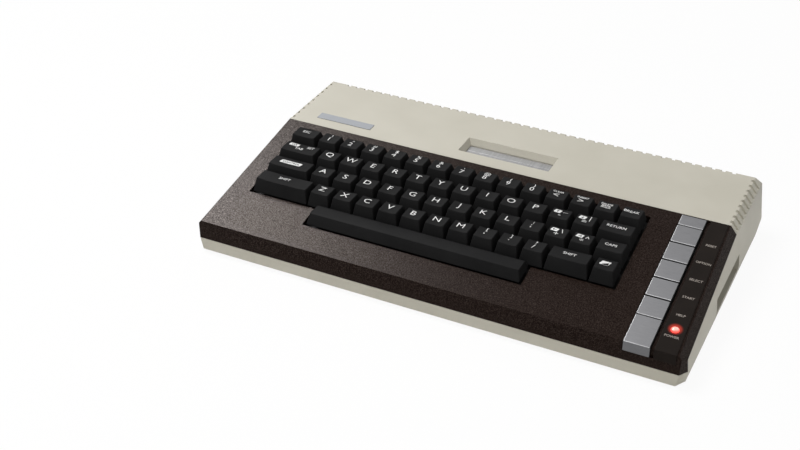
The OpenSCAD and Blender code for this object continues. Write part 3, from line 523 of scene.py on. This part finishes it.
def stand_for(node, reshape, *sizes):
    """A copy of a solid, reshaped, which stands for it."""
    form = bmesh.new()
    form.from_mesh(frame["nodes"][node].data)
    bmesh.ops.remove_doubles(form, verts=form.verts, dist=WELD_MM * MM)
    reshape(form, *sizes)
    mesh = bpy.data.meshes.new(node + "_rounded")
    form.to_mesh(mesh)
    form.free()
    piece = show(node + "_rounded", mesh, body_of[node], slot_of[node])
    if node in FOIL_TOPPED:
        dress_console_key(mesh)
    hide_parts(node)


stand_for("bottom_case", straighten_corners)
EDGE_ROUNDS_MM = {
    "label_strip": 0.15, "badge_plate": 0.12, "console_trim": 0.55, "power_switch": 0.35,
    "channel_switch": 0.25, "cartridge_door_front": 0.2, "cartridge_door_rear": 0.2,
}
EDGE_ROUNDS_MM.update({button: 0.55 for button in CONSOLE_BUTTONS})
for node, width_mm in EDGE_ROUNDS_MM.items():
    stand_for(node, bevel, width_mm)
print("rounded copies:", len(EDGE_ROUNDS_MM))

# %% [markdown]
# A keycap is a short tower: its walls lean in, its corners and top edge are rounded, and its top
# is tipped back and hollowed from left to right, so a finger finds it. It is built of closed
# rings of points: from the ceiling inside down to the rim of the skirt, up the outside, and in
# over the top to its middle. A stem stands inside. A bevelled box would miss the hollow and the
# soft corners.

# %% Keycaps
PITCH, GAP = 19.05, 0.85
LONG_KEY = 5
# Places are measured up the slope from a key's middle, and heights out of the bezel.
CAP_LOW = -0.8
CAP_TOP = {"high": 9.7, "front": -4.4, "back": 8.1}
BAR_TOP = {"high": 7.5, "front": -4.6, "back": 7.2}
MIDDLE = (CAP_TOP["front"] + CAP_TOP["back"]) / 2
SIDE_LEAN = 2.0
TIP = math.tan(math.radians(10))
DISH, DISH_RIM = 0.6, 0.8
BAR_CROWN, CROWN_POWER = 0.035, 1.5
CORNER_R, TOP_CORNER_R, EDGE_R = 0.75, 0.6, 0.35
CORNER_STEPS, STEPS_ACROSS = 4, 8
CAP_WALL, INSIDE = 1.3, 0.87
STEM_LOW, STEM_R, STEM_SIDES = -11.4, 2.6, 24
STEM_UNDER_TOP = 1.5
BAR_STEMS = (-60, 60)


def top_of(units):
    return BAR_TOP if units > LONG_KEY else CAP_TOP


def cap_plane(y, units):
    """Height of the tipped plane of a cap's top; it is level in front of and behind the top."""
    top = top_of(units)
    return top["high"] - (min(max(y, top["front"]), top["back"]) - top["front"]) * TIP


def cap_top(x, y, units):
    """Height of a cap's top: hollowed from left to right, or crowned on the long bar."""
    if units > LONG_KEY:
        return cap_plane(y, units) - BAR_CROWN * abs(y - MIDDLE) ** CROWN_POWER
    half = (units * PITCH - GAP) / 2 - SIDE_LEAN - DISH_RIM
    return cap_plane(y, units) - DISH * max(0.0, 1 - (x / half) ** 2)


def ring(half_x, front, back, radius, height, across):
    """A rounded rectangle of points, counter-clockwise from the right; height(x, y) lifts it."""
    points = []

    def corner(cx, cy, start):
        for i in range(CORNER_STEPS + 1):
            angle = math.radians(start + 90 / CORNER_STEPS * i)
            points.append((cx + radius * math.cos(angle), cy + radius * math.sin(angle)))

    def edge(sign, y):
        for i in range(1, across):
            points.append((sign * (half_x - radius) * (1 - 2 * i / across), y))

    corner(half_x - radius, back - radius, 0)
    edge(1, back)
    corner(radius - half_x, back - radius, 90)
    corner(radius - half_x, front + radius, 180)
    edge(-1, front)
    corner(half_x - radius, front + radius, 270)
    return [(x, y, height(x, y)) for x, y in points]


# For each ring, from the ceiling inside down to the rim and up the outside: share of the way up,
# distance in from the wall's face, and radius of the corners.
WALL_RINGS = [(INSIDE, CAP_WALL, 0.4), (0, CAP_WALL, 0.5), (0, 0.15, CORNER_R),
              (0.02, 0, CORNER_R), (0.5, 0, CORNER_R), (0.955, 0, CORNER_R)]
EDGE_TURNS = (30, 60, 90)
TOP_RINGS = (0.86, 0.66, 0.44, 0.22)


def cap_rings(units):
    """The rings of one cap: inside, skirt, walls, rounded edge, and the top in to its middle."""
    half = (units * PITCH - GAP) / 2
    depth = (PITCH - GAP) / 2
    top = top_of(units)
    middle = (top["front"] + top["back"]) / 2
    across = int(STEPS_ACROSS * units)

    def wall(share, inset):
        return (half - SIDE_LEAN * share - inset, -depth + (top["front"] + depth) * share + inset,
                depth - (depth - top["back"]) * share - inset)

    def at(share):
        return lambda x, y: CAP_LOW + share * (cap_plane(y, units) - CAP_LOW)

    def under_top(drop):
        return lambda x, y: cap_top(x, y, units) - drop

    rings = [ring(*wall(share, inset), radius, at(share), across)
             for share, inset, radius in WALL_RINGS]
    for turn in EDGE_TURNS:
        inset = EDGE_R * (1 - math.cos(math.radians(turn)))
        drop = EDGE_R * (1 - math.sin(math.radians(turn)))
        rings.append(ring(*wall(1, inset), CORNER_R - inset / 2, under_top(drop), across))
    rim_x, rim_front, rim_back = wall(1, EDGE_R)
    for share in TOP_RINGS:
        rings.append(ring(rim_x * share, middle + (rim_front - middle) * share,
                          middle + (rim_back - middle) * share, TOP_CORNER_R * share,
                          under_top(0), across))
    return rings


def add_walls(form, rings):
    """Joins rings of points, each to the next, and closes both ends; gives the new faces."""
    faces = []
    for low, high in zip(rings, rings[1:]):
        for i in range(len(low)):
            j = (i + 1) % len(low)
            faces.append(form.faces.new((low[i], low[j], high[j], high[i])))
    return faces + [form.faces.new(rings[-1]), form.faces.new(list(reversed(rings[0])))]


def add_cap(form, x, y, units):
    """Adds a cap and its stems to a form, at a key's place on the bezel."""
    rings = [[form.verts.new(on_bezel(x + px, y + py, pz)) for px, py, pz in points]
             for points in cap_rings(units)]
    add_walls(form, rings)
    stem_high = INSIDE * (top_of(units)["high"] - STEM_UNDER_TOP)
    for stem_x in (BAR_STEMS if units > LONG_KEY else (0,)):
        place = on_bezel(x + stem_x, y, (STEM_LOW + stem_high) / 2)
        bmesh.ops.create_cone(form, cap_ends=True, segments=STEM_SIDES, radius1=STEM_R * MM,
                              radius2=STEM_R * MM, depth=(stem_high - STEM_LOW) * MM,
                              matrix=Matrix.Translation(place) @ TURN.to_4x4())


# Where each row starts and how wide its keys are, in key pitches.
KEY_ROWS = [
    (-0.75, [1.25] + [1] * 14),
    (-0.75, [1.75] + [1] * 12 + [1.5]),
    (-0.75, [2] + [1] * 12 + [1.25]),
    (-0.75, [2.5] + [1] * 10 + [1.75, 1]),
    (2.25, [9]),
]
FIRST_X, FIRST_Y = -151.4125, -22.7


def key_place(row, i):
    """A key's middle on the bezel, and its width in key pitches."""
    start, widths = KEY_ROWS[row]
    x = FIRST_X + PITCH * (start + sum(widths[:i]) + widths[i] / 2)
    return x, FIRST_Y - PITCH * row, widths[i]


# Each key node's row, and its first and last key in that row.
KEY_NODES = {
    "key_escape": (0, 0, 0), "keys_1_to_4": (0, 1, 4), "keys_5_to_8": (0, 5, 8),
    "keys_9_to_insert": (0, 9, 12), "key_delete": (0, 13, 13), "key_break": (0, 14, 14),
    "key_tab": (1, 0, 0), "keys_q_to_r": (1, 1, 4), "keys_t_to_i": (1, 5, 8),
    "keys_o_to_equals": (1, 9, 12), "key_return": (1, 13, 13),
    "key_control": (2, 0, 0), "keys_a_to_f": (2, 1, 4), "keys_g_to_k": (2, 5, 8),
    "keys_l_to_star": (2, 9, 12), "key_caps": (2, 13, 13),
    "key_shift_left": (3, 0, 0), "keys_z_to_v": (3, 1, 4), "keys_b_to_m": (3, 5, 7),
    "keys_comma_to_slash": (3, 8, 10), "key_shift_right": (3, 11, 11), "key_inverse": (3, 12, 12),
    "key_space": (4, 0, 0),
}
CAP_SPLIT_SHADING = 50
for node, (row, first, last) in KEY_NODES.items():
    form = bmesh.new()
    for i in range(first, last + 1):
        add_cap(form, *key_place(row, i))
    bmesh.ops.recalc_face_normals(form, faces=form.faces)
    mesh = bpy.data.meshes.new(node + "_caps")
    form.to_mesh(mesh)
    form.free()
    caps = show(node + "_caps", mesh, body_of[node], "key_black", CAP_SPLIT_SHADING)
    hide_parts(node)
print("keycaps:", sum(last - first + 1 for _, first, last in KEY_NODES.values()))

# %% [markdown]
# The signs on the keys are printed in white. Blender's text makes the letters as outlines with
# a very small thickness, and each point of them is then laid on the hollowed cap, so the print
# follows the finger dish. An image would be simpler, but it blurs when the camera comes close.

# %% Printed signs: letters, blocks and strokes
PRINT_THICK = 0.06
BLACK_LIFT = 0.12
LETTER_STRETCH = 1.1
LINE_SPACE = 0.8
THINNER, SMALLEST_THINNED = 0.012, 5.6
OUTLINE_STEPS = 3
WHITE, BLACK = 0, 1
letter_meshes = {}


def letters(text, size):
    """The text as a thin mesh in millimetres, centred; kept for the next use. The larger it is,
    the more its strokes are thinned, because the photo's print is lighter than the font."""
    if (text, size) not in letter_meshes:
        curve = bpy.data.curves.new("letters", "FONT")
        curve.body = text
        curve.size = size
        curve.align_x = "CENTER"
        curve.align_y = "CENTER"
        curve.space_line = LINE_SPACE
        curve.offset = -THINNER * (size - SMALLEST_THINNED)
        curve.extrude = PRINT_THICK / 2
        curve.resolution_u = OUTLINE_STEPS
        holder = bpy.data.objects.new("letters", curve)
        scene.collection.objects.link(holder)
        bpy.context.view_layer.update()
        letter_meshes[text, size] = bpy.data.meshes.new_from_object(
            holder.evaluated_get(bpy.context.evaluated_depsgraph_get()))
        bpy.data.objects.remove(holder)
    return letter_meshes[text, size]


def print_letters(form, text, size, x, y, put, ink=WHITE):
    """Adds a text to a form; put(x, y, z) lays a flat point on the surface."""
    mesh = letters(text, size)
    ys = [v.co.y for v in mesh.vertices]
    middle = (min(ys) + max(ys)) / 2
    stretch = LETTER_STRETCH if len(text) == 1 else 1.0
    points = [form.verts.new(put(x + v.co.x * stretch, y + v.co.y - middle, v.co.z))
              for v in mesh.vertices]
    for polygon in mesh.polygons:
        face = form.faces.new([points[i] for i in polygon.vertices])
        face.material_index = ink


def print_shape(form, outline, put, ink=WHITE):
    """Adds a thin flat shape with a given outline; black ones lie a little higher."""
    lift = BLACK_LIFT if ink == BLACK else 0.0
    rings = [[form.verts.new(put(x, y, lift + z)) for x, y in outline]
             for z in (-PRINT_THICK / 2, PRINT_THICK / 2)]
    for face in add_walls(form, rings):
        face.material_index = ink


def print_stroke(form, a, b, width, put, ink):
    """Adds a straight stroke from a to b."""
    along = Vector(b) - Vector(a)
    side = Vector((-along.y, along.x)).normalized() * width / 2
    outline = [Vector(a) - side, Vector(b) - side, Vector(b) + side, Vector(a) + side]
    print_shape(form, outline, put, ink)


ARROW_HALF, SHAFT_SHORT, BARB = 1.25, 0.1, 0.95
SHAFT_WIDE, BARB_WIDE = 0.46, 0.44


def print_arrow(form, x, y, way, put):
    """A small black arrow with a given direction."""
    way = Vector(way)
    side = Vector((-way.y, way.x))
    tip = Vector((x, y)) + way * ARROW_HALF
    print_stroke(form, tip - way * 2 * ARROW_HALF, tip - way * SHAFT_SHORT, SHAFT_WIDE, put,
                 BLACK)
    for turn in (-1, 1):
        print_stroke(form, tip - way * BARB + side * turn * BARB, tip, BARB_WIDE, put, BLACK)


BLOCK_CUT, WIDE_BLOCK, WIDE_BLOCK_STEPS = 0.35, 8, 10


def print_block(form, x, y, width, depth, put, slant):
    """A white block with slanted ends, on which a sign can stand out in black. A wide one has
    points all along it, so that it follows the hollow of the cap."""
    cut = BLOCK_CUT
    w, d = width / 2, depth / 2
    front, back = [-w + cut, w - cut], [w - cut, -w + cut]
    if width > WIDE_BLOCK:
        front = [-w + 1 + (2 * w - 2) * i / WIDE_BLOCK_STEPS for i in range(WIDE_BLOCK_STEPS + 1)]
        back = front[::-1]
    corners = [(e, -d) for e in front] + [(w, -d + cut), (w, d - cut)]
    corners += [(e, d) for e in back] + [(-w, d - cut), (-w, -d + cut)]
    print_shape(form, [(x + px + slant * py, y + py) for px, py in corners], put)


print("printing helpers ready")

# %% [markdown]
# Each key's sign is short: a letter, a digit with its shifted sign, or a small word. The table
# below gives them row by row, and one function decides the size and the place of each part. The
# places are in millimetres from the sign's middle, which lies left of the cap's.

# %% Signs of the keyboard
SIGNS = [
    ["ESC", "1!", "2\"", "3#", "4$", "5%", "6&", "7'", "8@", "9(", "0)", "< CLEAR", "> INSERT",
     "DELETE\nBACK\nSPACE", "BREAK"],
    ["TAB", *"QWERTYUIOP", "up", "down", "RETURN"],
    ["CONTROL", *"ASDFGHJKL", ";:", "left", "right", "CAPS"],
    ["SHIFT", *"ZXCVBNM", ",[", ".]", "/?", "SHIFT", "inverse"],
    [""],
]
ARROWS = {"up": ((0, 1), "-", "_"), "down": ((0, -1), "=", "|"),
          "left": ((-1, 0), "+", "\\"), "right": ((1, 0), "*", "^")}
POINTER, BIG, DIGIT, SHIFTED = 8.0, 7.8, 6.7, 4.9
WORD, BLOCK_WORD, SHIFTED_WORD, SHORT_WORD, STACKED_WORD = 3.9, 3.1, 2.8, 2.7, 2.6
SIGN_X, SIGN_Y = -1.0, MIDDLE + 1.2
ABOVE_CAP, ABOVE_FOIL = 0.03, 0.05


def print_sign(form, sign, put):
    """A sign round the middle of a cap's top; black marks on white lie a little higher."""
    def above(x, y, z):
        return put(x, y, z + BLACK_LIFT)

    if sign in ARROWS:
        way, main, shifted = ARROWS[sign]
        print_block(form, -2.1, 1.6, 4.9, 3.8, put, slant=0.25)
        print_arrow(form, -2.1, 1.6, way, put)
        print_letters(form, main, DIGIT, 0.3, -2.6, put)
        print_letters(form, shifted, DIGIT, 3.7, 1.5, put)
    elif sign == "TAB":
        print_block(form, -6.4, 2.1, 8.0, 3.2, put, slant=0.25)
        print_letters(form, "CLR", SHORT_WORD, -6.4, 2.1, above, BLACK)
        print_letters(form, "SET", WORD, 8.1, 2.1, put)
        print_letters(form, sign, WORD, -0.4, -1.6, put)
    elif sign == "CONTROL":
        print_block(form, 0, -0.2, 18.0, 3.9, put, slant=0.3)
        print_letters(form, sign, BLOCK_WORD, 0, -0.2, above, BLACK)
    elif sign == "inverse":
        print_block(form, 0, 0.4, 6.6, 4.6, put, slant=0.3)
        print_shape(form, [(-2.3, -1.7), (2.5, -1.7), (2.5, 2.3), (1.9, 2.3)], put, BLACK)
    elif len(sign) == 1:
        print_letters(form, sign, BIG, 0, 0.2, put)
    elif len(sign) == 2:
        print_letters(form, sign[0], DIGIT, -0.2, -1.6, put)
        print_letters(form, sign[1], SHIFTED, 0.4, 3.1, put)
    elif sign[0] in "<>":
        print_letters(form, sign[0], POINTER, -0.2, -1.2, put)
        print_letters(form, sign[2:], SHIFTED_WORD, 0.3, 3.1, put)
    elif "\n" in sign:
        print_letters(form, sign, STACKED_WORD, 0, 0.1, put)
    elif sign:
        print_letters(form, sign, WORD, 0, 0.4, put)


def show_print(name, form, body, ink):
    """A piece of print: its first material is the ink, its second the black of the caps."""
    mesh = bpy.data.meshes.new(name)
    form.to_mesh(mesh)
    form.free()
    mesh.materials.append(finishes[ink])
    mesh.materials.append(finishes["key_black"])
    attach(name, mesh, body)


for node, (row, first, last) in KEY_NODES.items():
    if node == "key_space":
        continue
    form = bmesh.new()
    for i in range(first, last + 1):
        x, y, units = key_place(row, i)

        def put(px, py, pz, x=x, y=y, units=units):
            px, py = px + SIGN_X, py + SIGN_Y
            return on_bezel(x + px, y + py, cap_top(px, py, units) + pz + ABOVE_CAP)

        print_sign(form, SIGNS[row][i], put)
    show_print(node + "_signs", form, body_of[node], "print_white")
print("printed signs:", len(KEY_NODES) - 1)

# %% [markdown]
# The label strip names the console keys and the lamp in small warm grey capitals, each level
# with its key. The words lie flat on the foil, so the same printing helper puts them there.

# %% Words on the label strip
STRIP_X = 175.2
STRIP_THICK = 0.9
STRIP_WORD = 2.9
WORDS = {"RESET": -26.8, "OPTION": -45.4, "SELECT": -63.6, "START": -81.4, "HELP": -99.0,
         "POWER": -119.6}


def on_strip(x, y, z):
    return on_bezel(x, y, z + STRIP_THICK + ABOVE_FOIL)


form = bmesh.new()
for word, y in WORDS.items():
    print_letters(form, word, STRIP_WORD, STRIP_X, y, on_strip)
show_print("strip_words", form, "case", "print_grey")
print("strip words:", list(WORDS))
